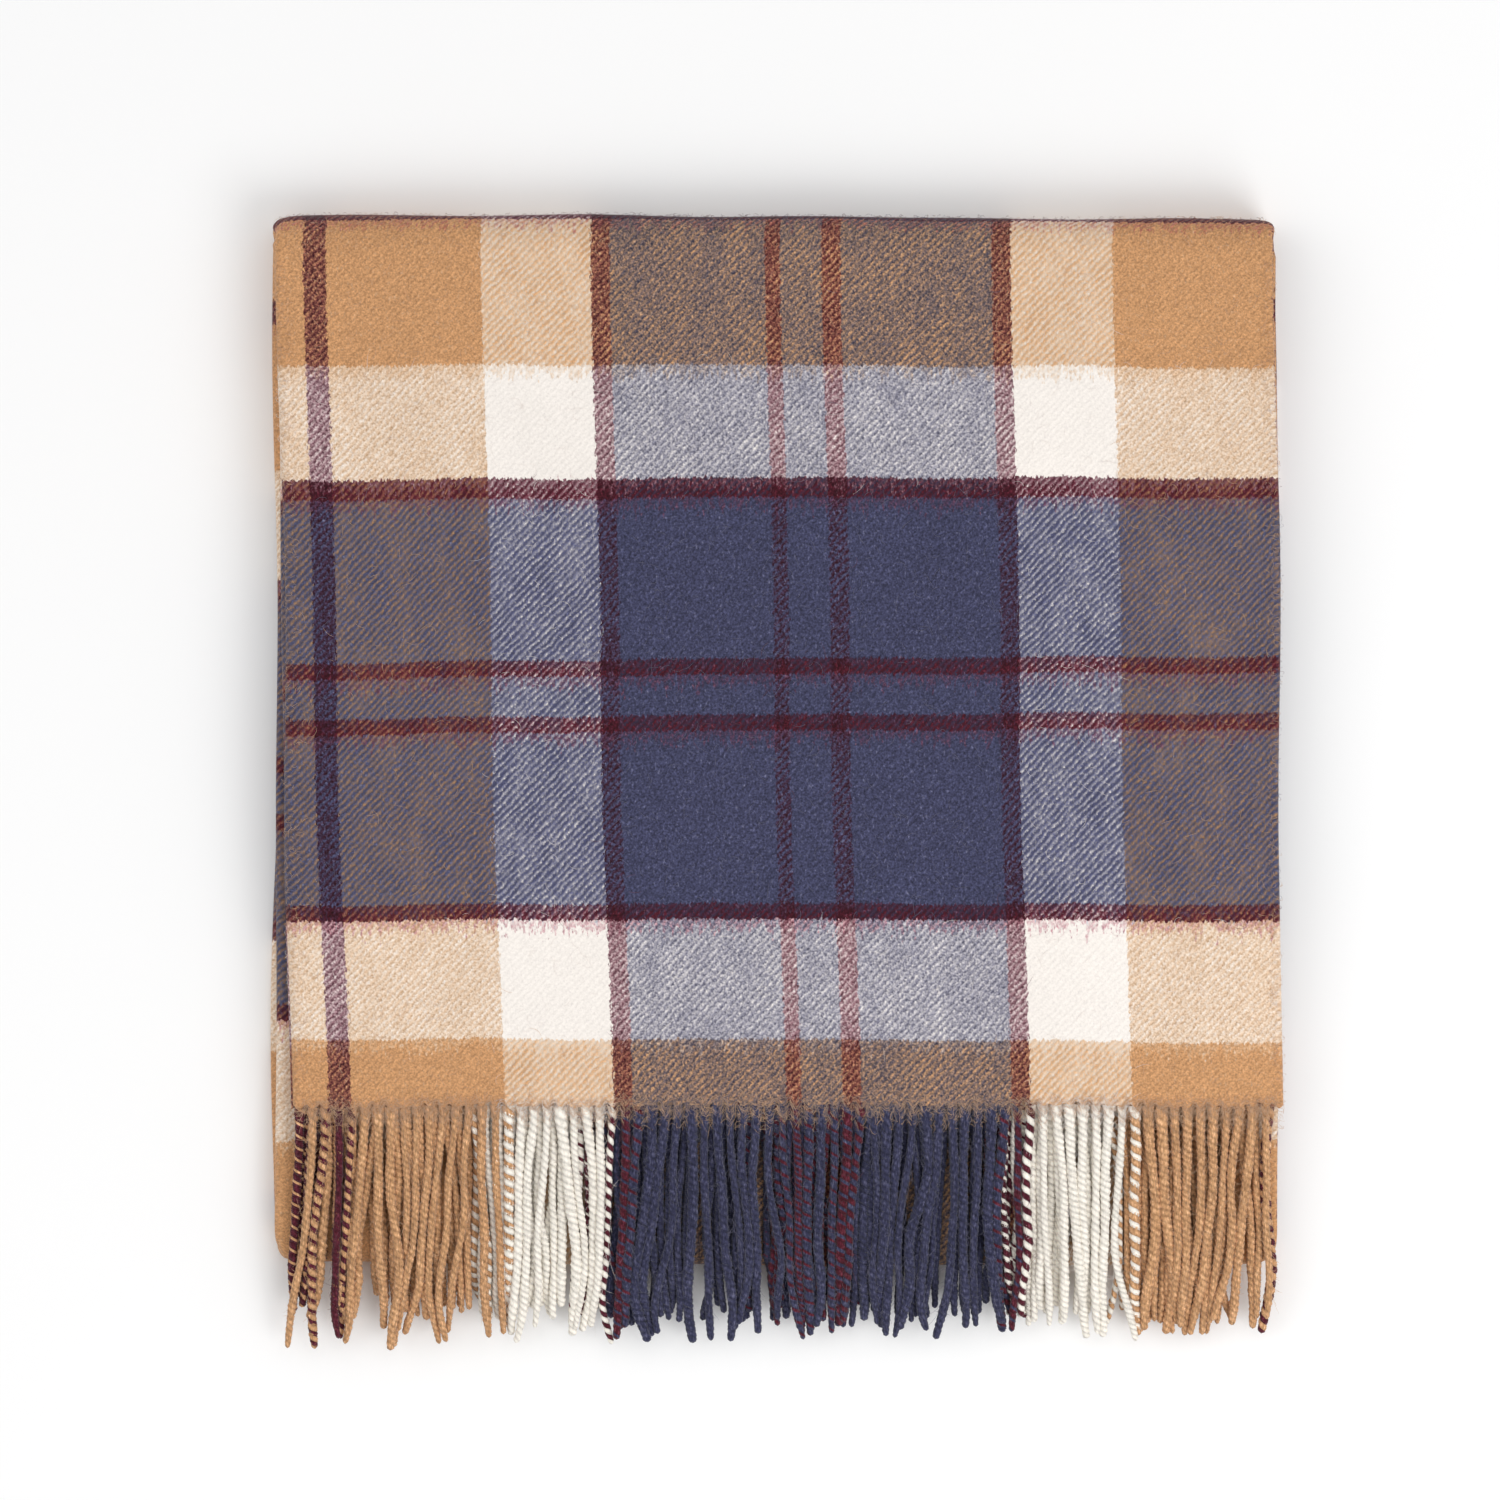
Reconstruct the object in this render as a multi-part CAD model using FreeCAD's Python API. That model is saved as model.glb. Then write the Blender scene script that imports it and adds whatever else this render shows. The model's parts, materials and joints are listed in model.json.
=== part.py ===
import FreeCAD, Part
import math
import os

from FreeCAD import Vector

# A brushed wool plaid throw, folded for display. The cloth is folded in thirds across its
# width, with the middle third outside, then in half along its length, and in half again.
# That makes twelve layers. The throw lies flat: +Z is up, +X is its right-hand side, and
# the front end's tassels point towards -Y. The origin is under the middle of the stack,
# on the surface that it lies on. All lengths are in millimetres.

# Overall size of the folded throw
WIDTH = 486.0             # left side fold to right side fold
DEPTH = 545.0             # top fold to the tips of the front tassels

# The cloth and how closely it is folded
CLOTH = 2.5               # thickness of the brushed cloth
AIR = 0.5                 # air between one layer and the next
PITCH = CLOTH + AIR
CLEARANCE = 0.25          # each panel stops this far short of the top fold's axis

# The flap, which is the half that the top fold turns over, lies a little askew
TASSEL_OVERHANG = 37.0    # tips of the front tassels to the bottom fold
FRONT_EDGE_UP = 77.0      # bottom fold to the front end's cloth edge
INNER_EDGE_UP = 190.0     # bottom fold to the inner end's cloth edge
ASKEW_LEFT = 8.0          # how far the flap's left side drifts in, fold to cloth edge
ASKEW_RIGHT = 5.0         # how far in its right side starts, at the top fold

# Where the edges of the two outer thirds end inside the stack
RIGHT_THIRD_GAP = 3.0     # from the left side fold's axis to the right third's edge
LEFT_THIRD_GAP = 30.0     # from the right side fold's axis to the left third's edge

# Tassels: cords twisted from the warp yarns of both ends
TASSEL_PITCH = 6.4        # one tassel to the next along the cloth edge
TASSEL = 4.8              # diameter where they lie free, at the front end
PRESSED_TASSEL = 2.8      # diameter where they are pressed between layers
ROW_RISE = 3.6            # from one row of front tassels up to the next
LOWEST_ROOT = 26.4        # height of the lowest front row where it leaves the cloth
ROOT_RUN = 10.0           # straight run before the tassels start to sink
SINK_ANGLE = 10.0         # slope down to the layer that they lie on, in degrees
OVER_FOLD = 5.5           # how far past the bottom fold's axis they stay level
DROOP_ANGLE = 33.0        # slope over the edge of the bottom fold, in degrees
LOWEST_TIP = 4.0          # height of the lowest front row's tips
BEND = 20.0               # radius of each bend in a tassel
REST_GAP = 0.3            # between the lowest row and what it lies on
END_GAP = 1.0             # tips of the pressed tassels to the front cloth edge
ROWS = ("left_third", "right_third", "centre_panel")    # from the lowest front row up

# One repeat of the warp, as colours and widths across the cloth
WARP = [
    ("burgundy", 10.5), ("camel", 76.5), ("ivory", 54.0), ("burgundy", 7.0),
    ("navy", 75.0), ("burgundy", 8.0), ("navy", 18.0), ("burgundy", 8.0),
    ("navy", 77.0), ("burgundy", 7.0), ("ivory", 50.5), ("camel", 79.5),
]
WARP_START = 14.5         # left side fold to the first stripe of a repeat

# The stack from the floor up: the length of the throw that a layer belongs to, and the third
STACK = [
    ("base", "centre_panel"), ("base", "right_third"), ("base", "left_third"),
    ("lap", "left_third"), ("lap", "right_third"), ("lap", "centre_panel"),
    ("inner_end", "centre_panel"), ("inner_end", "right_third"), ("inner_end", "left_third"),
    ("front", "left_third"), ("front", "right_third"), ("front", "centre_panel"),
]
FLAP = ("inner_end", "front")
THIRDS = ("centre_panel", "right_third", "left_third")

# Places worked out from the dimensions above
HALF_STACK = len(STACK) // 2
HINGE_Z = HALF_STACK * PITCH - AIR / 2
TOP_AXIS_Y = DEPTH / 2 - HINGE_Z
PANEL_TOP_Y = TOP_AXIS_Y - CLEARANCE
BOTTOM_AXIS_Z = HINGE_Z / 2 - AIR / 4
FRONT_TIP_Y = -DEPTH / 2
LEFT_RADIUS = PITCH + CLOTH / 2
RIGHT_RADIUS = PITCH / 2 + CLOTH / 2
BOTTOM_FOLD_Y = FRONT_TIP_Y + TASSEL_OVERHANG
BOTTOM_AXIS_Y = BOTTOM_FOLD_Y + BOTTOM_AXIS_Z
CLOTH_START_Y = {
    "base": BOTTOM_AXIS_Y,
    "lap": BOTTOM_AXIS_Y,
    "inner_end": BOTTOM_FOLD_Y + INNER_EDGE_UP,
    "front": BOTTOM_FOLD_Y + FRONT_EDGE_UP,
}


def layer_bottom(section, third):
    """Height of the underside of one layer."""
    return STACK.index((section, third)) * PITCH


def down_flap(y):
    """How far down the flap y is: 0 at the top fold, 1 at the front cloth edge."""
    return (PANEL_TOP_Y - y) / (PANEL_TOP_Y - CLOTH_START_Y["front"])


def left_axis(section, y):
    """X of the left side fold's axis."""
    x = -WIDTH / 2 + LEFT_RADIUS
    if section in FLAP:
        x += ASKEW_LEFT * down_flap(y)
    return x


def right_axis(section, y):
    """X of the right side fold's axis."""
    x = WIDTH / 2 - RIGHT_RADIUS
    if section in FLAP:
        x -= ASKEW_RIGHT * (1 - down_flap(y))
    return x


def third_ends(section, third, y):
    """X of the two ends of one third of the width."""
    left = left_axis(section, y)
    right = right_axis(section, y)
    if third == "right_third":
        left += RIGHT_THIRD_GAP
    if third == "left_third":
        right -= LEFT_THIRD_GAP
    return left, right


def panel(section, third):
    """One flat layer of cloth."""
    z = layer_bottom(section, third)
    near, far = CLOTH_START_Y[section], PANEL_TOP_Y
    near_left, near_right = third_ends(section, third, near)
    far_left, far_right = third_ends(section, third, far)
    corners = [
        Vector(near_left, near, z), Vector(near_right, near, z),
        Vector(far_right, far, z), Vector(far_left, far, z),
    ]
    outline = Part.makePolygon(corners + corners[:1])
    return Part.Face(outline).extrude(Vector(0, 0, CLOTH))


def half_ring(centre, outward, middle_radius, lip):
    """A vertical face: cloth turned back on itself towards `outward`, with two short lips."""
    up = Vector(0, 0, 1)
    inner = middle_radius - CLOTH / 2
    outer = middle_radius + CLOTH / 2
    back = centre - outward * lip

    def arc(radius):
        return Part.Arc(centre - up * radius, centre + outward * radius, centre + up * radius).toShape()

    def line(start, end):
        return Part.makeLine(start, end)

    edges = [arc(inner), arc(outer), line(back - up * inner, back - up * outer),
             line(back + up * inner, back + up * outer)]
    if lip:
        for radius in (-outer, -inner, inner, outer):
            edges.append(line(centre + up * radius, back + up * radius))
    return Part.Face(Part.Wire(Part.__sortEdges__(edges)))


def side_fold(section, third):
    """The fold down one side of the stack, between the centre panel and one outer third."""
    on_left = third == "left_third"
    axis = left_axis if on_left else right_axis
    near, far = CLOTH_START_Y[section], PANEL_TOP_Y
    centre_mid = layer_bottom(section, "centre_panel") + CLOTH / 2
    third_mid = layer_bottom(section, third) + CLOTH / 2
    start = Vector(axis(section, near), near, (centre_mid + third_mid) / 2)
    end = Vector(axis(section, far), far, start.z)
    outward = Vector(-1 if on_left else 1, 0, 0)
    return half_ring(start, outward, abs(centre_mid - third_mid) / 2, 0).extrude(end - start)


def end_fold(below, above, third, axis_y, outward_y, lip):
    """The fold at one end of the stack that joins the layers `below` and `above`."""
    below_mid = layer_bottom(below, third) + CLOTH / 2
    above_mid = layer_bottom(above, third) + CLOTH / 2
    below_ends = third_ends(below, third, axis_y)
    above_ends = third_ends(above, third, axis_y)
    left = max(below_ends[0], above_ends[0])
    right = min(below_ends[1], above_ends[1])
    centre = Vector(left, axis_y, (below_mid + above_mid) / 2)
    profile = half_ring(centre, Vector(0, outward_y, 0), (above_mid - below_mid) / 2, lip)
    return profile.extrude(Vector(right - left, 0, 0))


def rounded_path(points, radius):
    """Straight runs through the points, joined by tangent arcs."""
    edges = []
    start = points[0]
    for before, corner, after in zip(points, points[1:], points[2:]):
        arriving = (corner - before).normalize()
        leaving = (after - corner).normalize()
        turn = arriving.getAngle(leaving)
        cut = radius * math.tan(turn / 2)
        first = corner - arriving * cut
        last = corner + leaving * cut
        inward = (leaving - arriving).normalize()
        middle = corner + inward * radius * (1 / math.cos(turn / 2) - 1)
        edges.append(Part.makeLine(start, first))
        edges.append(Part.Arc(first, middle, last).toShape())
        start = last
    edges.append(Part.makeLine(start, points[-1]))
    return Part.Wire(edges)


def front_tassel(row):
    """One tassel of a front row, at x = 0: level, sinking to the lap, then over its edge."""
    root_y = CLOTH_START_Y["front"]
    lap_top = layer_bottom("lap", "centre_panel") + CLOTH
    rest_z = lap_top + REST_GAP + TASSEL / 2
    sink = math.radians(SINK_ANGLE)
    droop = math.radians(DROOP_ANGLE)
    sink_y = root_y - ROOT_RUN
    level_y = sink_y - (LOWEST_ROOT - rest_z) / math.tan(sink)
    over_y = BOTTOM_AXIS_Y - OVER_FOLD
    tip_run_y = over_y - (rest_z - LOWEST_TIP) / math.tan(droop)
    lift = row * ROW_RISE

    def corner(y, z, turn):
        return Vector(0, y - lift * math.tan(turn / 2), z + lift)

    points = [
        corner(root_y, LOWEST_ROOT, 0),
        corner(sink_y, LOWEST_ROOT, sink),
        corner(level_y, rest_z, sink),
        corner(over_y, rest_z, droop),
        corner(tip_run_y, LOWEST_TIP, droop),
        corner(FRONT_TIP_Y, LOWEST_TIP, 0),
    ]
    path = rounded_path(points, BEND)
    section = Part.Wire(Part.makeCircle(TASSEL / 2, points[0], Vector(0, -1, 0)))
    return path.makePipeShell([section], True, False)


def pressed_tassel(third):
    """One tassel of the inner end, at x = 0, pressed between the layers around it."""
    root = Vector(0, CLOTH_START_Y["inner_end"], layer_bottom("inner_end", third) + CLOTH / 2)
    length = INNER_EDGE_UP - FRONT_EDGE_UP - END_GAP
    return Part.makeCylinder(PRESSED_TASSEL / 2, length, root, Vector(0, -1, 0))


def warp_colour(across):
    """Colour of the warp at a distance across the cloth from the left side fold."""
    repeat = sum(width for _, width in WARP)
    along = (across - WARP_START) % repeat
    for colour, width in WARP:
        if along < width:
            return colour
        along -= width
    return WARP[-1][0]


def tassel_places(section, third, stagger):
    """X and warp colour of every tassel along one cloth edge, set off by `stagger`."""
    y = CLOTH_START_Y[section]
    fold = left_axis(section, y)
    left, right = third_ends(section, third, y)
    x = fold + TASSEL / 2 + stagger
    places = []
    while x <= right - TASSEL / 2:
        across = {
            "centre_panel": x - fold,
            "right_third": 2 * right_axis(section, y) - x - fold,
            "left_third": fold - x,
        }[third]
        if x >= left + TASSEL / 2:
            places.append((x, warp_colour(across)))
        x += TASSEL_PITCH
    return places


def front_tassels(third):
    """The front tassels of one third, as a list of solids for each colour."""
    row = ROWS.index(third)
    pattern = front_tassel(row)
    stagger = TASSEL_PITCH / 2 * (row % 2)
    by_colour = {}
    for x, colour in tassel_places("front", third, stagger):
        by_colour.setdefault(colour, []).append(pattern.translated(Vector(x, 0, 0)))
    return by_colour


def inner_tassels(third):
    """The inner end's tassels of one third, as a list of solids."""
    pattern = pressed_tassel(third)
    places = tassel_places("inner_end", third, 0)
    return [pattern.translated(Vector(x, 0, 0)) for x, _ in places]


def build():
    """Every node's shape, by name."""
    nodes = {}
    for section, third in STACK:
        nodes[f"{section}_{third}"] = panel(section, third)
    for section in CLOTH_START_Y:
        nodes[f"{section}_left_side_fold"] = side_fold(section, "left_third")
        nodes[f"{section}_right_side_fold"] = side_fold(section, "right_third")
    for third in THIRDS:
        nodes[f"outer_top_fold_{third}"] = end_fold(
            "base", "front", third, TOP_AXIS_Y, 1, CLEARANCE)
        nodes[f"inner_top_fold_{third}"] = end_fold(
            "lap", "inner_end", third, TOP_AXIS_Y, 1, CLEARANCE)
        nodes[f"bottom_fold_{third}"] = end_fold("base", "lap", third, BOTTOM_AXIS_Y, -1, 0)
        for colour, solids in front_tassels(third).items():
            nodes[f"front_{third}_{colour}_tassels"] = Part.makeCompound(solids)
        nodes[f"inner_end_{third}_tassels"] = Part.makeCompound(inner_tassels(third))
    return nodes


os.makedirs("parts", exist_ok=True)
for name, shape in build().items():
    shape.exportStep(f"parts/{name}.step")
    print(f"{name}: {len(shape.Solids)} solid(s), {shape.Volume / 1000:.1f} cm3, valid {shape.isValid()}")
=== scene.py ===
import json
import math

import bpy
import numpy as np
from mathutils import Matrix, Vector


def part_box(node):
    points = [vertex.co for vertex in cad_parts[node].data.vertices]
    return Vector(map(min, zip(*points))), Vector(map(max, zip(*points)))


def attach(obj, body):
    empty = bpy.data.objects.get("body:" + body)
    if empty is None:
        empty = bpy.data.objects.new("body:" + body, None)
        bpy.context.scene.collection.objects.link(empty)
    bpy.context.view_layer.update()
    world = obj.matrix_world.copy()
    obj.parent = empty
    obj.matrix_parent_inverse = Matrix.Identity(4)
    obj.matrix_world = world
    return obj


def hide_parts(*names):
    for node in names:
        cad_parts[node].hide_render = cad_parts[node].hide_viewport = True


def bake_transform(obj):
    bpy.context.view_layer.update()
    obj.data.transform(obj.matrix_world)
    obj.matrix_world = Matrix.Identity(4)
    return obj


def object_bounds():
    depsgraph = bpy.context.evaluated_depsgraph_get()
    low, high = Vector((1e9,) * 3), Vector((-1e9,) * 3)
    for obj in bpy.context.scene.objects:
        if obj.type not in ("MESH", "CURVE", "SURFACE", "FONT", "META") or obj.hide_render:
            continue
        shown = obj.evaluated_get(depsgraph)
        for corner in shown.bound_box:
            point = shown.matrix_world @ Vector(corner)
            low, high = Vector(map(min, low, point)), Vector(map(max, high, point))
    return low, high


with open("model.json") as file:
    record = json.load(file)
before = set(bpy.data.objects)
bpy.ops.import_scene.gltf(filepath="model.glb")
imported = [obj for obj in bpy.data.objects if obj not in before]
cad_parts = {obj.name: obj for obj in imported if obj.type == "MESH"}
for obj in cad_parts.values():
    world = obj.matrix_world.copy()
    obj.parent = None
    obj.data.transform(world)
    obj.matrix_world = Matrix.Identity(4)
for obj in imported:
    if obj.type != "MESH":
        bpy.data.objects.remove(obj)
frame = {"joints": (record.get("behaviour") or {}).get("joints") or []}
cad_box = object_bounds()

# A brushed wool plaid throw, folded in thirds across its width and then twice in half.
# The whole cloth is one flat sheet with two coordinates, both in metres: `across`, from
# the left side fold's axis towards the right one, and `along`, from the front end's cloth
# edge towards the inner end. fold() places a point of the flat sheet in the folded stack,
# settle() makes the stack uneven as soft cloth is, and every cloth piece is a stretch of
# that one sheet. The plaid is worked out from the flat coordinates, so it runs unbroken
# round every fold and into the tassels.

MM = 0.001

# ---------------- driving dimensions

CLOTH = 2.4 * MM             # thickness of the cloth, a little under the design's slabs
RIGHT_THIRD_GAP = 3.0 * MM   # the right third's free edge stops this short of the left folds
LEFT_THIRD_GAP = 30.0 * MM   # and the left third's this short of the right folds
SPARE = 3.0 * MM             # flat cloth at both ends of an end fold's piece

FLAT_STEP = 4.0 * MM         # mesh size on the flat layers
FINE_STEP = 1.6 * MM         # and across the front end's face, for its scalloped edge
FOLD_STEP = 2.2 * MM         # and round the end folds
SIDE_FOLD_STEPS = 14         # mesh steps round a side fold
EDGE_STEPS = 4               # and round half of a free edge
SHARP_ANGLE = 50             # degrees between two faces that makes their edge look sharp

SWELL = 1.1 * MM             # how far the top layers rise and sink
SWAY = 1.7 * MM              # how far the layers' edges wander to the sides
SWAY_Y_SHARE = 0.6           # and towards the front and the top fold, as a share of that
SWAY_LIFT = 8.0              # the sway changes this much faster with height
SAG = 4.5 * MM               # how far the front end sinks past the inner end
SAG_RUN = 70 * MM
CORNER_PULL = 1.2 * MM       # how far the stack's corners are drawn in
CORNER_REACH = 12 * MM
SCALLOP = 2.2 * MM           # the cloth edge hangs back this much between two tassels
SCALLOP_RUN = 6 * MM
SCALLOP_WANDER = 29 * MM     # and its depth comes and goes over this width
CALM_RUN = 45 * MM           # the stack lies evenly this close to the top fold

TASSEL_PITCH = 6.4 * MM
TASSEL_RADIUS = 2.35 * MM
TWIST = 6.1 * MM             # length of one full turn of a tassel's two plies
TASSEL_LENGTH = 0.117
LENGTH_SPREAD = 14.0 * MM
LENGTH_SLOPE = 5.0 * MM      # the tassels on the left are this much longer than on the right
INNER_TASSEL_LENGTH = 0.108
ROOT_INSET = 1.2 * MM        # a tassel starts this far inside the cloth's edge
ROOT_FAN = 10.0 * MM         # as flat, untwisted warp ends over this length
TIP_TAPER = 14.0 * MM
TIP_ROUNDING = 2.0 * MM
ROW_SHORTFALL = 5.0 * MM     # each row reaches this much less far than the one on top of it
ROW_RISE = 3.5 * MM
TOP_ROW = 2
SINK_START = 4.0 * MM        # a tassel starts to sink to its row's level this far from its root
SINK_RUN = 38.0 * MM
DROOP_START = 1.0 * MM       # and from there to the table this far past the bottom fold's axis
DROOP_RUN = 46.0 * MM
TIP_HEIGHT = 6.5 * MM
TIP_HEIGHT_SPREAD = 3.0 * MM
TASSEL_DRIFT = 4.6 * MM
TASSEL_SPLAY = 5.0 * MM      # the outermost tassels lean outwards
TASSEL_LEVELS = 44           # points from a front tassel's root to its tip
INNER_TASSEL_LEVELS = 24

# One repeat of the plaid: colour and width in millimetres
WARP = [
    ("burgundy", 10.5), ("camel", 75.4), ("ivory", 53.4), ("burgundy", 8.6),
    ("navy", 75.3), ("burgundy", 8.6), ("navy", 19.8), ("burgundy", 8.6),
    ("navy", 74.2), ("burgundy", 8.8), ("ivory", 50.3), ("camel", 77.5),
]
WARP_START = 9.7 * MM        # the first stripe's edge, across from the left fold's axis
WEFT = [
    ("camel", 32.0), ("ivory", 57.6), ("burgundy", 8.0), ("navy", 83.8),
    ("burgundy", 7.4), ("navy", 19.7), ("burgundy", 7.4), ("navy", 76.8),
    ("burgundy", 10.0), ("ivory", 53.0), ("camel", 71.4), ("burgundy", 13.0),
    ("camel", 54.6),
]
WEFT_START = 0.0
WARP_SKEW = 4.2 * MM         # the warp leans this far to the right at the front edge
WARP_SKEW_RUN = 280 * MM
WEFT_BOW = 1.3 * MM          # and the weft bows up and down by this at the sides
WEFT_BOW_RUN = 400 * MM
WEFT_BOW_START = 110 * MM

# Dyed wool: its colour as it looks on screen, and how much of the face it covers as weft
WOOL = {
    "camel": ((201, 150, 105), 0.55),
    "ivory": ((246, 239, 232), 0.61),
    "navy": ((61, 62, 87), 0.69),
    "burgundy": ((55, 15, 26), 0.77),
}
# The same wool where brushing has spread it thin over its neighbour
THIN_WOOL = {**WOOL, "burgundy": ((124, 42, 58), 0.72), "navy": ((84, 88, 124), 0.69)}
# and where it is twisted into a tassel
CORD_WOOL = {
    "camel": ((206, 157, 113), 1.0),
    "ivory": ((254, 248, 237), 1.0),
    "navy": ((57, 58, 84), 1.0),
    "burgundy": ((82, 27, 40), 1.0),
}
FIBRE_TINT = (214, 206, 206)  # pale fibre ends on the cloth
CORD_TINT = (236, 226, 216)   # and on the tassels

TWILL_REPEAT = 3.8 * MM      # four yarns
MIXING_ROOT = 5.0            # colours mix at this root: darker where two yarns mix, partly as overlapping fibres do and partly as painted shade between the yarns

# How far brushing moves the borders between the stripes
WARP_RAGGED = 5 * MM
WEFT_RAGGED = 6 * MM
HAZE_RAGGED = 34 * MM        # thin fibres are pulled much further along the cloth
NAP_RAGGED = 12 * MM
HAZE_SHIFT = 4 * MM          # and further towards the front edge than away from it
BUMP_DEPTH = 0.6 * MM


# ---------------- camera, light, floor

VIEW_WIDTH = 0.7215          # how much the picture takes in at the top of the stack
VIEW_CENTRE = (-0.0135, 0.0144)
LENS = 135.0
SENSOR = 36.0
WORLD_LIGHT = 0.58
LIGHTS = [                   # name, place, size and power
    ("key", (1.1, -1.2, 1.7), 1.4, 24.0),
    ("fill", (-1.8, 0.6, 2.2), 2.0, 12.0),
    ("top", (0.2, 0.9, 3.0), 2.0, 10.0),
]
FLOOR_HALF = 6.0


def make_camera():
    data = bpy.data.cameras.new("camera")
    data.lens = LENS
    data.sensor_width = SENSOR
    camera = bpy.data.objects.new("camera", data)
    distance = VIEW_WIDTH * LENS / SENSOR
    camera.location = (VIEW_CENTRE[0], VIEW_CENTRE[1], cad_box[1].z + distance)
    bpy.context.scene.collection.objects.link(camera)
    bpy.context.scene.camera = camera


def make_light(name, place, size, power):
    data = bpy.data.lights.new(name, "AREA")
    data.shape = "SQUARE"
    data.size = size
    data.energy = power
    light = bpy.data.objects.new(name, data)
    light.location = place
    towards = -light.location
    light.rotation_mode = "QUATERNION"
    light.rotation_quaternion = towards.to_track_quat("-Z", "Y")
    bpy.context.scene.collection.objects.link(light)


def make_studio():
    world = bpy.data.worlds.new("studio")
    world.use_nodes = True
    background = world.node_tree.nodes["Background"]
    background.inputs["Color"].default_value = (1.0, 1.0, 1.0, 1.0)
    background.inputs["Strength"].default_value = WORLD_LIGHT
    bpy.context.scene.world = world
    bpy.context.scene.view_settings.view_transform = "Standard"
    for light in LIGHTS:
        make_light(*light)


def make_floor():
    mesh = bpy.data.meshes.new("floor")
    corners = [(FLOOR_HALF * x, FLOOR_HALF * y, 0) for x, y in ((-1, -1), (1, -1), (1, 1), (-1, 1))]
    mesh.from_pydata(corners, [], [(0, 1, 2, 3)])
    floor = bpy.data.objects.new("floor", mesh)
    bpy.context.scene.collection.objects.link(floor)
    material = bpy.data.materials.new("pale_floor")
    material.use_nodes = True
    shader = material.node_tree.nodes["Principled BSDF"]
    shader.inputs["Base Color"].default_value = (0.98, 0.98, 0.98, 1.0)
    shader.inputs["Roughness"].default_value = 0.9
    mesh.materials.append(material)


# ---------------- the folded sheet

def layer_height(node):
    low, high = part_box(node)
    return (low.z + high.z) / 2


def lowest(node):
    """The corner of a node's box with the lowest x, y and z."""
    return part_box(node)[0]


def highest(node):
    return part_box(node)[1]


HINGE_Y, HINGE_Z = frame["joints"][0]["pos_m"][1:]
FRONT_Z = layer_height("front_centre_panel")
INNER_Z = layer_height("inner_end_centre_panel")
LAP_Z = layer_height("lap_centre_panel")
BASE_Z = layer_height("base_centre_panel")
RIGHT_DEPTH = FRONT_Z - layer_height("front_right_third")
LEFT_DEPTH = FRONT_Z - layer_height("front_left_third")
FRONT_EDGE_Y = lowest("front_centre_panel").y
INNER_EDGE_Y = lowest("inner_end_centre_panel").y
BOTTOM_AXIS_Y = lowest("lap_centre_panel").y
BOTTOM_AXIS_Z = (LAP_Z + BASE_Z) / 2

OUTER_RADIUS = (FRONT_Z - BASE_Z) / 2
BOTTOM_RADIUS = (LAP_Z - BASE_Z) / 2
INNER_RADIUS = (INNER_Z - LAP_Z) / 2
RIGHT_RADIUS = RIGHT_DEPTH / 2
LEFT_RADIUS = LEFT_DEPTH / 2

# The side folds' axes: along the straight lengths and, for the askew flap, at its two ends
STRAIGHT_LEFT = highest("lap_left_side_fold").x
STRAIGHT_RIGHT = lowest("lap_right_side_fold").x
FLAP_LEFT_NEAR = highest("front_left_side_fold").x
FLAP_RIGHT_FAR = lowest("front_right_side_fold").x
PANEL_WIDTH = STRAIGHT_RIGHT - STRAIGHT_LEFT
RIGHT_THIRD = PANEL_WIDTH - RIGHT_THIRD_GAP
LEFT_THIRD = PANEL_WIDTH - LEFT_THIRD_GAP

# Where each stretch of the sheet begins and ends, along it
FRONT = (0.0, HINGE_Y - FRONT_EDGE_Y)
OUTER_FOLD = (FRONT[1], FRONT[1] + math.pi * OUTER_RADIUS)
BASE = (OUTER_FOLD[1], OUTER_FOLD[1] + HINGE_Y - BOTTOM_AXIS_Y)
BOTTOM_FOLD = (BASE[1], BASE[1] + math.pi * BOTTOM_RADIUS)
LAP = (BOTTOM_FOLD[1], BOTTOM_FOLD[1] + HINGE_Y - BOTTOM_AXIS_Y)
INNER_FOLD = (LAP[1], LAP[1] + math.pi * INNER_RADIUS)
INNER_END = (INNER_FOLD[1], INNER_FOLD[1] + HINGE_Y - INNER_EDGE_Y)

# and across it
CENTRE = (0.0, PANEL_WIDTH)
RIGHT_FOLD = (CENTRE[1], CENTRE[1] + math.pi * RIGHT_RADIUS)
RIGHT = (RIGHT_FOLD[1], RIGHT_FOLD[1] + RIGHT_THIRD)
LEFT_FOLD = (-math.pi * LEFT_RADIUS, 0.0)
LEFT = (LEFT_FOLD[0] - LEFT_THIRD, LEFT_FOLD[0])


def tassel_roots(span):
    """Where across the cloth each tassel of one third's edge grows."""
    count = int((span[1] - span[0]) / TASSEL_PITCH)
    spare = (span[1] - span[0] - count * TASSEL_PITCH) / 2
    return span[0] + spare + (np.arange(count) + 0.5) * TASSEL_PITCH


FIRST_ROOT = tassel_roots(CENTRE)[0]


def woven(across, along):
    """Which yarns cross at a place of the flat sheet: the weave is not quite square."""
    skew = WARP_SKEW * np.clip(1 - along / WARP_SKEW_RUN, 0, 1)
    side = 1 - 2 * across / PANEL_WIDTH
    bow = WEFT_BOW * side * np.sin(2 * math.pi * (along - WEFT_BOW_START) / WEFT_BOW_RUN)
    return across - skew, along + bow


def smooth(value):
    """0 below 0, 1 above 1, and an S-curve between."""
    t = np.clip(value, 0.0, 1.0)
    return t * t * (3.0 - 2.0 * t)


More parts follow.
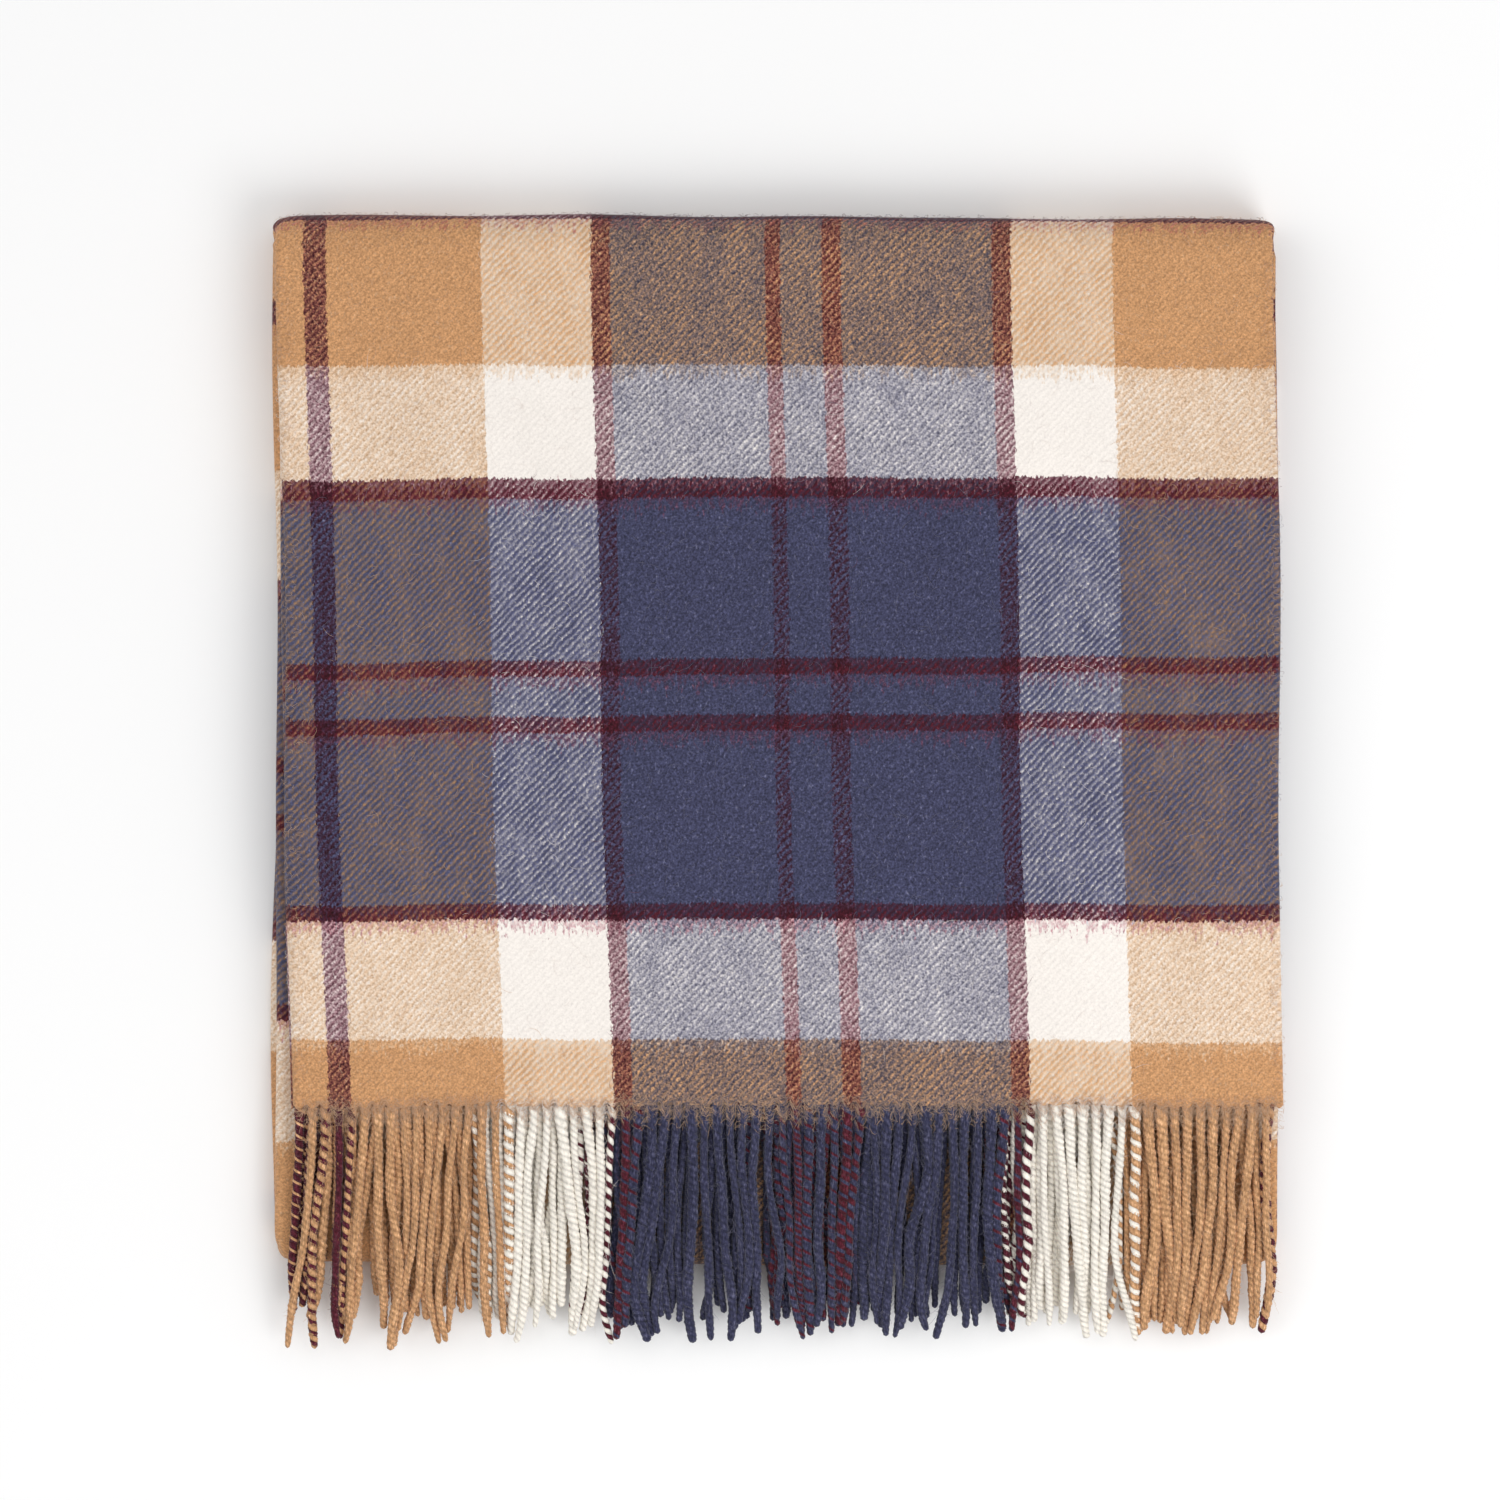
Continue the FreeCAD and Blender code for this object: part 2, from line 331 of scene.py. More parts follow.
def waves(seed, count, longest, shortest):
    """A smooth field over two coordinates, from about -1 to 1, made of a few sine waves."""
    rng = np.random.default_rng(seed)
    lengths = np.geomspace(longest, shortest, count)
    turns = rng.uniform(0, 2 * math.pi, count)
    phases = rng.uniform(0, 2 * math.pi, count)
    sizes = np.sqrt(lengths / longest)
    total = np.sqrt((sizes ** 2).sum())

    def field(a, b):
        value = 0.0
        for length, turn, phase, size in zip(lengths, turns, phases, sizes):
            travel = (a * math.cos(turn) + b * math.sin(turn)) / length
            value = value + size * np.sin(2 * math.pi * travel + phase)
        return value / total

    return field


swell_field = waves(11, 7, 0.42, 0.07)
sway_x_field = waves(12, 6, 0.50, 0.09)
sway_y_field = waves(13, 6, 0.50, 0.09)


def near_outline(distance):
    """0 well inside the stack, 1 on its outline and a little more outside it."""
    return np.clip((distance + CORNER_REACH) / CORNER_REACH, 0, 1.3)


def settle(x, y, z):
    """Moves a point of the tidy stack to where soft cloth would let it lie."""
    height = np.clip((z - BASE_Z) / FRONT_Z, 0.0, 1.1)
    calm = smooth((HINGE_Y - y) / CALM_RUN)
    swell = SWELL * height * calm * swell_field(x, y)
    flap_depth = FRONT_Z - LEFT_DEPTH - LAP_Z - CLOTH
    above_lap = np.clip((z - LAP_Z - CLOTH / 2) / flap_depth, 0, 1)
    sag = SAG * above_lap * smooth((INNER_EDGE_Y - y) / SAG_RUN)

    # The corners of the stack are drawn in: all layers at the top fold, the low ones at the front
    from_middle = x - (STRAIGHT_LEFT + STRAIGHT_RIGHT) / 2
    near_side = near_outline(np.abs(from_middle) - PANEL_WIDTH / 2)
    near_top = near_outline(y - HINGE_Y - OUTER_RADIUS)
    near_bottom = near_outline(BOTTOM_AXIS_Y - y) * (z < LAP_Z + CLOTH)
    narrowing = np.sign(from_middle) * CORNER_PULL * 0.5 * (near_top ** 3 + near_bottom ** 3)
    pull = CORNER_PULL * near_side ** 3

    new_x = x + SWAY * sway_x_field(y, z * SWAY_LIFT) - narrowing * near_side
    new_y = y + SWAY * sway_y_field(x, z * SWAY_LIFT) * SWAY_Y_SHARE
    new_y = new_y - pull * near_top ** 2 + pull * near_bottom ** 2
    return new_x, new_y, z + swell - sag


def share_of(span, along):
    """How much of a span lies before a place, from 0 to 1."""
    return np.clip((along - span[0]) / (span[1] - span[0]), 0, 1)


def side_axes(y, along):
    """X of the left and right side folds' axes. The flap, which is both ends, lies askew."""
    on_flap = 1 - smooth(share_of(OUTER_FOLD, along)) + smooth(share_of(INNER_FOLD, along))
    down = np.clip((HINGE_Y - y) / (HINGE_Y - FRONT_EDGE_Y), -0.1, 1.4)
    left = STRAIGHT_LEFT + on_flap * down * (FLAP_LEFT_NEAR - STRAIGHT_LEFT)
    right = STRAIGHT_RIGHT + on_flap * (1 - down) * (FLAP_RIGHT_FAR - STRAIGHT_RIGHT)
    return left, right


def round_fold(span, along, radius):
    """How far out and how far up a fold's half turn has taken a place, from its axis."""
    turn = share_of(span, along) * math.pi
    return radius * np.sin(turn), radius * np.cos(turn)


def fold_lengthwise(along, depth):
    """Y and Z of a point that lies `depth` inside the centre panel's layer."""
    outer_out, outer_up = round_fold(OUTER_FOLD, along, OUTER_RADIUS - depth)
    bottom_out, bottom_up = round_fold(BOTTOM_FOLD, along, BOTTOM_RADIUS - depth)
    inner_out, inner_up = round_fold(INNER_FOLD, along, INNER_RADIUS + depth)
    y = FRONT_EDGE_Y + along
    z = FRONT_Z - depth
    for span, span_y, span_z in (
        (OUTER_FOLD, HINGE_Y + outer_out, HINGE_Z + outer_up),
        (BASE, HINGE_Y - (along - BASE[0]), BASE_Z + depth),
        (BOTTOM_FOLD, BOTTOM_AXIS_Y - bottom_out, BOTTOM_AXIS_Z - bottom_up),
        (LAP, BOTTOM_AXIS_Y + (along - LAP[0]), LAP_Z - depth),
        (INNER_FOLD, HINGE_Y + inner_out, HINGE_Z - inner_up),
        (INNER_END, HINGE_Y - (along - INNER_END[0]), INNER_Z + depth),
    ):
        y = np.where(along >= span[0], span_y, y)
        z = np.where(along >= span[0], span_z, z)
    return y, z


def fold(across, along):
    """Where a point of the flat sheet's middle lies in the settled stack."""
    turn_right = np.clip((across - RIGHT_FOLD[0]) / RIGHT_RADIUS, 0, math.pi)
    turn_left = np.clip((LEFT_FOLD[1] - across) / LEFT_RADIUS, 0, math.pi)
    depth = RIGHT_RADIUS * (1 - np.cos(turn_right)) + LEFT_RADIUS * (1 - np.cos(turn_left))
    y, z = fold_lengthwise(along, depth)
    left, right = side_axes(y, along)
    x = left + np.clip(across, *CENTRE) / PANEL_WIDTH * (right - left)
    x = x + RIGHT_RADIUS * np.sin(turn_right) - LEFT_RADIUS * np.sin(turn_left)
    x = x - np.clip(across - RIGHT[0], 0, None) + np.clip(LEFT[1] - across, 0, None)
    near_edge = smooth(1 - along / SCALLOP_RUN)
    between_tassels = 0.5 - 0.5 * np.cos(2 * math.pi * (across - FIRST_ROOT) / TASSEL_PITCH)
    uneven = 1 + 0.5 * np.sin(2 * math.pi * across / SCALLOP_WANDER)
    y = y + SCALLOP * near_edge * between_tassels * uneven
    return np.stack(settle(x, y, z), axis=-1)


def fold_with_normal(across, along):
    """A point of the folded sheet's middle, and the sheet's normal there, face side out."""
    step = 0.05 * MM
    place = fold(across, along)
    right = fold(across + step, along) - fold(across - step, along)
    up = fold(across, along + step) - fold(across, along - step)
    normal = np.cross(right, up)
    return place, normal / np.linalg.norm(normal, axis=-1, keepdims=True)


# ---------------- meshes

def make_mesh(name, points, faces, **values):
    """A smooth mesh with a vector attribute for each of the values given by name."""
    mesh = bpy.data.meshes.new(name)
    mesh.from_pydata(points.tolist(), [], faces)
    for attribute_name, vectors in values.items():
        attribute = mesh.attributes.new(attribute_name, "FLOAT_VECTOR", "POINT")
        attribute.data.foreach_set("vector", vectors.astype(np.float32).ravel())
    mesh.shade_smooth()
    mesh.set_sharp_from_angle(angle=math.radians(SHARP_ANGLE))
    mesh.update()
    piece = bpy.data.objects.new(name, mesh)
    bpy.context.scene.collection.objects.link(piece)
    return piece


def samples(span, count, round_start=False, round_end=False):
    """Places to sample the sheet at over one span, closer together at a free, rounded edge."""
    values = list(np.linspace(span[0], span[1], count + 1))
    edge = CLOTH / 2
    turns = [math.pi / 2 * k / EDGE_STEPS for k in range(1, EDGE_STEPS + 1)]
    offsets = [edge * (1 - math.cos(turn)) for turn in turns]
    if round_start:
        kept = [value for value in values if value > span[0] + 1.5 * edge]
        values = [values[0]] + [span[0] + offset for offset in offsets] + kept
    if round_end:
        kept = [value for value in values if value < span[1] - 1.5 * edge]
        values = kept + [span[1] - offset for offset in reversed(offsets)] + [values[-1]]
    return values


def half_thickness(distance):
    """Half the sheet's thickness at a distance from a free edge, which is rounded."""
    edge = CLOTH / 2
    inside = np.clip(1 - distance / edge, 0, 1)
    return edge * np.sqrt(np.clip(1 - inside ** 2, 0.004, 1))


def steps(span, size):
    return max(2, int(round((span[1] - span[0]) / size)))


def sheet_places(across_spans, along_span, along_step):
    """A grid of places on one stretch of the sheet: all their across and all their along."""
    at_front = along_span[0] == FRONT[0]
    at_inner_end = along_span[1] == INNER_END[1]
    across = []
    for span in across_spans:
        across_step = FINE_STEP if at_front and span == CENTRE else FLAT_STEP
        count = SIDE_FOLD_STEPS if span in (LEFT_FOLD, RIGHT_FOLD) else steps(span, across_step)
        new = samples(span, count, span == LEFT, span == RIGHT)
        across += new if not across else new[1:]
    along = samples(along_span, steps(along_span, along_step), at_front, at_inner_end)
    return np.meshgrid(across, along)


def sheet_faces(rows, columns):
    """The faces of a sheet's face side and back side, and of the rim that joins them."""
    grid = np.arange(rows * columns).reshape(rows, columns)
    back = grid + rows * columns
    faces = []
    for r in range(rows - 1):
        for c in range(columns - 1):
            faces.append((grid[r, c], grid[r, c + 1], grid[r + 1, c + 1], grid[r + 1, c]))
            faces.append((back[r, c], back[r + 1, c], back[r + 1, c + 1], back[r, c + 1]))
    loop = list(grid[0, :]) + list(grid[1:, -1]) + list(grid[-1, -2::-1]) + list(grid[-2:0:-1, 0])
    for start, end in zip(loop, loop[1:] + loop[:1]):
        faces.append((end, start, start + rows * columns, end + rows * columns))
    return [tuple(int(i) for i in face) for face in faces]


def cloth_piece(name, across_spans, along_span, along_step):
    """One stretch of the folded sheet, as a closed mesh with two faces and a rim."""
    across, along = sheet_places(across_spans, along_span, along_step)
    middle, normal = fold_with_normal(across, along)
    from_edge = np.minimum.reduce([
        along - FRONT[0], INNER_END[1] - along, across - LEFT[0], RIGHT[1] - across,
    ])
    thick = half_thickness(from_edge)[..., None]
    face_side = (middle + normal * thick).reshape(-1, 3)
    back_side = (middle - normal * thick).reshape(-1, 3)
    flat = np.stack([*woven(across, along), np.zeros_like(across)], axis=-1).reshape(-1, 3)
    points = np.concatenate([face_side, back_side])
    return make_mesh(name, points, sheet_faces(*across.shape), cloth=np.concatenate([flat, flat]))


# ---------------- materials

def pattern_width(pattern):
    """Width of one repeat of the stripes, in millimetres."""
    return sum(width for _, width in pattern)


def coded(colour, cover=1.0):
    """A screen colour (0 to 255) as the root of its light: mixing at this root darkens mixed yarns,
    partly as overlapping fibres do and partly as painted shade between the yarns.
    """
    light = [((c / 255 + 0.055) / 1.055) ** 2.4 for c in colour]
    return tuple(c ** (1 / MIXING_ROOT) for c in light) + (cover,)


class Graph:
    """A material's nodes, with a short call for each kind that the wool needs."""

    def __init__(self, name):
        self.material = bpy.data.materials.new(name)
        self.material.use_nodes = True
        self.tree = self.material.node_tree
        self.shader = self.tree.nodes["Principled BSDF"]

    def put(self, value, socket):
        if isinstance(value, bpy.types.NodeSocket):
            self.tree.links.new(value, socket)
        else:
            socket.default_value = value

    def math(self, operation, *values, clamp=False):
        node = self.tree.nodes.new("ShaderNodeMath")
        node.operation = operation
        node.use_clamp = clamp
        for value, socket in zip(values, node.inputs):
            self.put(value, socket)
        return node.outputs[0]

    def read(self, name):
        """The three values of a mesh's attribute."""
        attribute = self.tree.nodes.new("ShaderNodeAttribute")
        attribute.attribute_name = name
        split = self.tree.nodes.new("ShaderNodeSeparateXYZ")
        self.tree.links.new(attribute.outputs["Vector"], split.inputs[0])
        return split.outputs

    def noise(self, across, along, across_size, along_size, detail=2.0, offset=0.0):
        """Noise from 0 to 1 whose grains have these sizes across and along the cloth."""
        place = self.tree.nodes.new("ShaderNodeCombineXYZ")
        self.put(self.math("DIVIDE", across, across_size), place.inputs[0])
        self.put(self.math("DIVIDE", along, along_size), place.inputs[1])
        self.put(offset, place.inputs[2])
        node = self.tree.nodes.new("ShaderNodeTexNoise")
        node.inputs["Scale"].default_value = 1.0
        node.inputs["Detail"].default_value = detail
        node.inputs["Roughness"].default_value = 0.6
        self.tree.links.new(place.outputs[0], node.inputs["Vector"])
        return node.outputs[0]

    def nudged(self, value, noise, reach):
        """The value moved by up to about half of `reach` either way."""
        return self.math("MULTIPLY_ADD", self.math("SUBTRACT", noise, 0.5), reach, value)

    def stripes(self, value, start, pattern, wool=WOOL):
        """The coded colour of the repeating stripes at a place across them."""
        repeat = pattern_width(pattern)
        turns = self.math("DIVIDE", self.math("SUBTRACT", value, start), repeat * MM)
        share = self.math("FRACT", turns)
        node = self.tree.nodes.new("ShaderNodeValToRGB")
        ramp = node.color_ramp
        ramp.interpolation = "CONSTANT"
        place = 0.0
        for number, (colour, width) in enumerate(pattern):
            stop = ramp.elements[0] if number == 0 else ramp.elements.new(place / repeat)
            stop.position = place / repeat
            stop.color = coded(*wool[colour])
            place += width
        ramp.elements.remove(ramp.elements[-1])
        self.tree.links.new(share, node.inputs[0])
        return node.outputs

    def mix(self, share, first, second):
        node = self.tree.nodes.new("ShaderNodeMix")
        node.data_type = "RGBA"
        self.put(share, node.inputs[0])
        self.put(first, node.inputs[6])
        self.put(second, node.inputs[7])
        return node.outputs[2]

    def green(self, colour):
        node = self.tree.nodes.new("ShaderNodeSeparateColor")
        self.put(colour, node.inputs[0])
        return node.outputs["Green"]

    def shaded(self, colour, shade):
        """The colour, lighter or darker by a factor."""
        node = self.tree.nodes.new("ShaderNodeVectorMath")
        node.operation = "SCALE"
        self.put(colour, node.inputs[0])
        self.put(shade, node.inputs["Scale"])
        return node.outputs[0]

    def decoded(self, colour):
        node = self.tree.nodes.new("ShaderNodeGamma")
        node.inputs["Gamma"].default_value = MIXING_ROOT
        self.put(colour, node.inputs["Color"])
        return node.outputs[0]

    def bump(self, height, distance, strength):
        node = self.tree.nodes.new("ShaderNodeBump")
        node.inputs["Distance"].default_value = distance
        node.inputs["Strength"].default_value = strength
        self.put(height, node.inputs["Height"])
        self.tree.links.new(node.outputs[0], self.shader.inputs["Normal"])

    def finish(self, colour, roughness, sheen):
        self.put(colour, self.shader.inputs["Base Color"])
        self.put(roughness, self.shader.inputs["Roughness"])
        self.shader.inputs["Sheen Weight"].default_value = sheen
        self.shader.inputs["Sheen Roughness"].default_value = 0.45
        self.shader.inputs["Specular IOR Level"].default_value = 0.15
        return self.material


def weft_stripes(g, across, along, nap):
    """The weft's stripes, with thin fibres pulled along the cloth over their borders."""
    pull = g.noise(across, along, 1.2 * MM, 4.5 * MM, detail=3.0, offset=3.7)
    haze = g.noise(across, along, 2.2 * MM, 12 * MM, detail=4.0, offset=6.1)
    weft = g.stripes(g.nudged(along, pull, WEFT_RAGGED), WEFT_START, WEFT)
    drawn = g.nudged(g.nudged(along, haze, HAZE_RAGGED), nap, NAP_RAGGED)
    pulled = g.stripes(g.math("ADD", drawn, HAZE_SHIFT), WEFT_START, WEFT, THIN_WOOL)
    thin_share = g.math("MAXIMUM", g.nudged(0.26, nap, 1.2), 0.0)
    return g.mix(thin_share, weft["Color"], pulled["Color"]), weft["Alpha"]


def twill_rib(g, across, along, grain):
    """The twill's ribs, from -1 to 1: they climb to the right, and the nap breaks them up."""
    wander = g.noise(across, along, 8 * MM, 8 * MM, offset=9.1)
    climb = g.nudged(g.math("SUBTRACT", across, along), wander, 3.6 * MM)
    climb = g.nudged(climb, grain, 2.4 * MM)
    return g.math("SINE", g.math("MULTIPLY", climb, 2 * math.pi / TWILL_REPEAT))


def weft_share(g, cover, weft_colour, rib, grain, nap, patches):
    """How much of the face is weft: it varies with rib and nap, less where the weft is pale."""
    mixing = g.nudged(g.nudged(g.nudged(0.0, grain, 1.25), nap, 1.0), patches, 0.45)
    mixing = g.math("MULTIPLY_ADD", rib, g.nudged(0.17, patches, 0.4), mixing)
    spread = g.math("MULTIPLY_ADD", g.green(weft_colour), -1.7, 2.3)
    share = g.math("MULTIPLY_ADD", mixing, spread, cover)
    return g.math("MINIMUM", g.math("MAXIMUM", share, 0.05), 0.98)


def uneven_shade(g, across, along, colour, grain):
    """Light and shade of the nap: a fine grain, strongest on dark yarns, and broad patches."""
    broad = g.noise(across, along, 45 * MM, 60 * MM, offset=7.7)
    unevenness = g.math("MINIMUM", g.math("MULTIPLY_ADD", g.green(colour), -1.6, 1.64), 0.6)
    fine = g.math("SUBTRACT", grain, 0.5)
    return g.math("MULTIPLY_ADD", fine, unevenness, g.nudged(1.0, broad, 0.03))


def plaid_cloth():
    """Brushed 2/2 twill: striped warp and weft, diagonal ribs, and loose fibres on top."""
    g = Graph("plaid_cloth")
    across, along, _ = g.read("cloth")
    jitter = g.noise(across, along, 1.1 * MM, 3.0 * MM, detail=3.0)
    nap = g.noise(across, along, 1.3 * MM, 2.4 * MM, detail=4.0, offset=1.9)
    grain = g.noise(across, along, 1.0 * MM, 1.0 * MM, detail=4.0, offset=5.3)
    patches = g.noise(across, along, 11 * MM, 24 * MM, detail=4.0, offset=4.4)

    # Striped yarns, and which of them is on top
    warp = g.stripes(g.nudged(across, jitter, WARP_RAGGED), WARP_START, WARP)
    weft_colour, cover = weft_stripes(g, across, along, nap)
    rib = twill_rib(g, across, along, grain)
    share = weft_share(g, cover, weft_colour, rib, grain, nap, patches)
    yarns = g.mix(share, warp["Color"], weft_colour)

    # Pale loose fibres, most visible on the dark yarns
    loose = g.math("MULTIPLY", g.math("SUBTRACT", nap, 0.57), 1.9, clamp=True)
    colour = g.mix(loose, yarns, coded(FIBRE_TINT))
    shade = uneven_shade(g, across, along, colour, grain)

    # The surface's relief is gentler on pale wool, whose fibres light each other's shadows
    height = g.math("MULTIPLY_ADD", rib, 0.25, g.nudged(g.nudged(0.0, grain, 0.9), nap, 1.0))
    calm = g.math("MINIMUM", g.math("MULTIPLY_ADD", g.green(yarns), -2.6, 3.0), 1.0)
    g.bump(g.math("MULTIPLY", height, calm), BUMP_DEPTH, 0.75)
    roughness = g.math("MULTIPLY_ADD", nap, 0.12, 0.86)
    return g.finish(g.decoded(g.shaded(colour, shade)), roughness, 0.2)


def tassel_yarn():
    """Warp yarns twisted into cords: each ply keeps the warp's colour where it grew, with painted
    shade in the grooves between the plies.
    """
    g = Graph("tassel_yarn")
    across, _, crown = g.read("cloth")
    side, up, down = g.read("cord")
    fluff = g.noise(side, up, 0.8 * MM, 0.8 * MM, 4.0, g.math("DIVIDE", down, 2.4 * MM))
    yarn = g.stripes(g.nudged(across, fluff, 3 * MM), WARP_START, WARP, CORD_WOOL)["Color"]
    pale = g.math("MULTIPLY", g.math("SUBTRACT", fluff, 0.5), 1.1, clamp=True)
    colour = g.mix(pale, yarn, coded(CORD_TINT))
    broad = g.noise(side, up, 0.1, 0.1, 2.0, g.math("DIVIDE", down, 25 * MM))
    # Painted shade: the grooves between the two plies are darker than their crowns
    painted_groove_shade = g.math("MULTIPLY_ADD", crown, 0.08, 0.94)
    calm = g.math("MINIMUM", g.math("MULTIPLY_ADD", g.green(yarn), -3.4, 3.7), 1.0)
    unevenness = g.nudged(g.nudged(0.0, fluff, 0.5), broad, 0.12)
    shade = g.math("MULTIPLY", painted_groove_shade, g.math("MULTIPLY_ADD", unevenness, calm, 0.995))
    g.bump(fluff, BUMP_DEPTH, 0.8)
    roughness = g.math("MULTIPLY_ADD", fluff, 0.12, 0.84)
    return g.finish(g.decoded(g.shaded(colour, shade)), roughness, 0.2)


def loose_fibres():
    """Single fibres that stand out of the nap, each of one yarn's colour."""
    g = Graph("loose_fibres")
    across, along, is_weft = g.read("cloth")
    warp = g.stripes(across, WARP_START, WARP)["Color"]
    weft = g.stripes(along, WEFT_START, WEFT)["Color"]
    colour = g.mix(0.42, g.mix(is_weft, warp, weft), coded(FIBRE_TINT))
    return g.finish(g.decoded(colour), 0.9, 0.1)


# ---------------- cloth pieces

def dress(piece, material):
    piece.data.materials.append(material)


def bend_at_hinge(piece):
    """Bakes the piece's place into its mesh; it is attached to no body."""
    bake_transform(piece)


THIRDS = {
    "centre_panel": ([LEFT_FOLD, CENTRE, RIGHT_FOLD], 0.0),
    "right_third": ([RIGHT], RIGHT_DEPTH),
    "left_third": ([LEFT], LEFT_DEPTH),
}
LENGTHS = {
    "front": ((FRONT[0], FRONT[1] - SPARE), "upper_half", "inner_end_left_third"),
    "inner_end": ((INNER_END[0] + SPARE, INNER_END[1]), "upper_half", "lap_centre_panel"),
    "lap": ((LAP[0] + SPARE, LAP[1] - SPARE), "lower_half", "base_left_third"),
    "base": ((BASE[0] + SPARE, BASE[1] - SPARE), "lower_half", "floor"),
}
# Each end fold: its span, its radius in the centre panel, and how the radius grows with depth
END_FOLDS = {
    "outer_top_fold": (OUTER_FOLD, OUTER_RADIUS, -1),
    "inner_top_fold": (INNER_FOLD, INNER_RADIUS, 1),
    "bottom_fold": (BOTTOM_FOLD, BOTTOM_RADIUS, -1),
}


def make_flat_layer(material, length, third):
    """One third of one length of the throw; the centre panel carries both its side folds."""
    across, _ = THIRDS[third]
    along, body, below = LENGTHS[length]
    name = f"{length}_{third}"
    piece = cloth_piece(f"{name}_cloth", across, along, FLAT_STEP)
    nodes = [name]
    if third == "centre_panel":
        nodes += [f"{length}_left_side_fold", f"{length}_right_side_fold"]
    dress(piece, material)
    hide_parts(*nodes)
    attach(piece, body)
    return piece, (across[-1][1] - across[0][0], along[1] - along[0]), below


def make_end_fold(material, end, third):
    """One third of one end fold, with a little flat cloth at both ends of it."""
    across, depth = THIRDS[third]
    along, centre_radius, growth = END_FOLDS[end]
    name = f"{end}_{third}"
    span = (along[0] - SPARE, along[1] + SPARE)
    piece = cloth_piece(f"{name}_cloth", across, span, FOLD_STEP)
    dress(piece, material)
    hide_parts(name)
    radius = centre_radius + growth * depth
    if end == "bottom_fold":
        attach(piece, "lower_half")
    else:
        bend_at_hinge(piece)
    width = across[-1][1] - across[0][0]
    return piece, (width, math.pi * radius + 2 * SPARE), "base_centre_panel"


def make_cloth(material):
    """All 21 stretches of the sheet, by name: four flat lengths and three end folds, in thirds."""
    made = {}
    for third in THIRDS:
        for length in LENGTHS:
            made[f"{length}_{third}"] = make_flat_layer(material, length, third)
        for end in END_FOLDS:
            made[f"{end}_{third}"] = make_end_fold(material, end, third)
    return made


# ---------------- tassels

# The rows of tassels at each end of the cloth, with the front end's lowest row first
FRINGE_SPANS = {"left_third": LEFT, "right_third": RIGHT, "centre_panel": CENTRE}


PARTING_ROUNDS = 60
NEAREST = 0.9                # how close two tassels may lie, in diameters
PUSH = 0.35                  # each round moves both by this share of their overlap
RECALL = 0.03                # and takes back this share of how far they have moved


def part_tassels(x, z, floor_z):
    """Pushes a row's tassels that lie in each other apart, level by level, and keeps them up."""
    target_x = x.copy()
    target_z = z.copy()
    gap = 2 * TASSEL_RADIUS * NEAREST
    itself = np.arange(x.shape[0])
    for _ in range(PARTING_ROUNDS):
        dx = x[:, None, :] - x[None, :, :]
        dz = z[:, None, :] - z[None, :, :]
        distance = np.sqrt(dx * dx + dz * dz) + 1e-9
        overlap = np.clip(gap - distance, 0, None)
        overlap[itself, itself, :] = 0
        x = x + PUSH * (overlap * dx / distance).sum(1) + RECALL * (target_x - x)
        z = z + PUSH * (overlap * dz / distance).sum(1) + RECALL * (target_z - z)
        z = np.maximum(z, floor_z)
        for values in (x, z):
            values[:, 1:-1] = 0.5 * values[:, 1:-1] + 0.25 * (values[:, :-2] + values[:, 2:])
    return x, z


def tassel_heights(y, root_z, rows, tip):
    """A tassel sinks from the cloth's edge to its row's level, and past the fold to its tip's."""
    root_y = y[:, :1]
    level = LAP_Z + CLOTH / 2 + TASSEL_RADIUS * 0.95 + rows * ROW_RISE
    sink = smooth((root_y - SINK_START - y) / SINK_RUN)
    z = root_z[:, None] * (1 - sink) + level[:, None] * sink
    droop = smooth((BOTTOM_AXIS_Y - DROOP_START - y) / DROOP_RUN)
    return z * (1 - droop) + tip[:, None] * droop


def tassel_drift(rng, rows, share):
    """How each tassel leans its own way and snakes a little; neighbours lean together."""
    count = len(rows)
    lean = rng.normal(0, 1, count)
    for row in range(TOP_ROW + 1):
        chosen = rows == row
        kernel = np.array([0.3, 0.8, 1.0, 0.8, 0.3])
        together = np.convolve(rng.normal(0, 1, chosen.sum()), kernel, "same") / 1.5
        lean[chosen] = 0.8 * lean[chosen] + 0.8 * together
    snake = np.zeros((count, len(share)))
    for turns in (0.7, 1.3, 2.1):
        phase = rng.uniform(0, 2 * math.pi, count)[:, None]
        size = rng.normal(0, 1, count)[:, None] / turns
        snake += size * (np.sin(2 * math.pi * turns * share + phase) - np.sin(phase))
    return lean[:, None] * share ** 1.3 + 0.4 * snake * smooth(share * 3) * (0.6 + share ** 2)


def tassel_floor(y):
    """How low a tassel may lie: on the lap, then on the bottom fold's curve, then on the table."""
    on_lap = LAP_Z + CLOTH / 2 + TASSEL_RADIUS * 0.95
    on_table = TASSEL_RADIUS * 1.02
    clear_of_fold = BOTTOM_RADIUS + CLOTH / 2 + TASSEL_RADIUS
    past_axis = np.clip(BOTTOM_AXIS_Y - y, 0, None)
    over_fold = BOTTOM_AXIS_Z + np.sqrt(np.clip(clear_of_fold ** 2 - past_axis ** 2, 0, None))
    floor_z = np.where(past_axis < clear_of_fold, over_fold, on_table)
    return np.where(past_axis > 0, np.maximum(floor_z, on_table), on_lap)


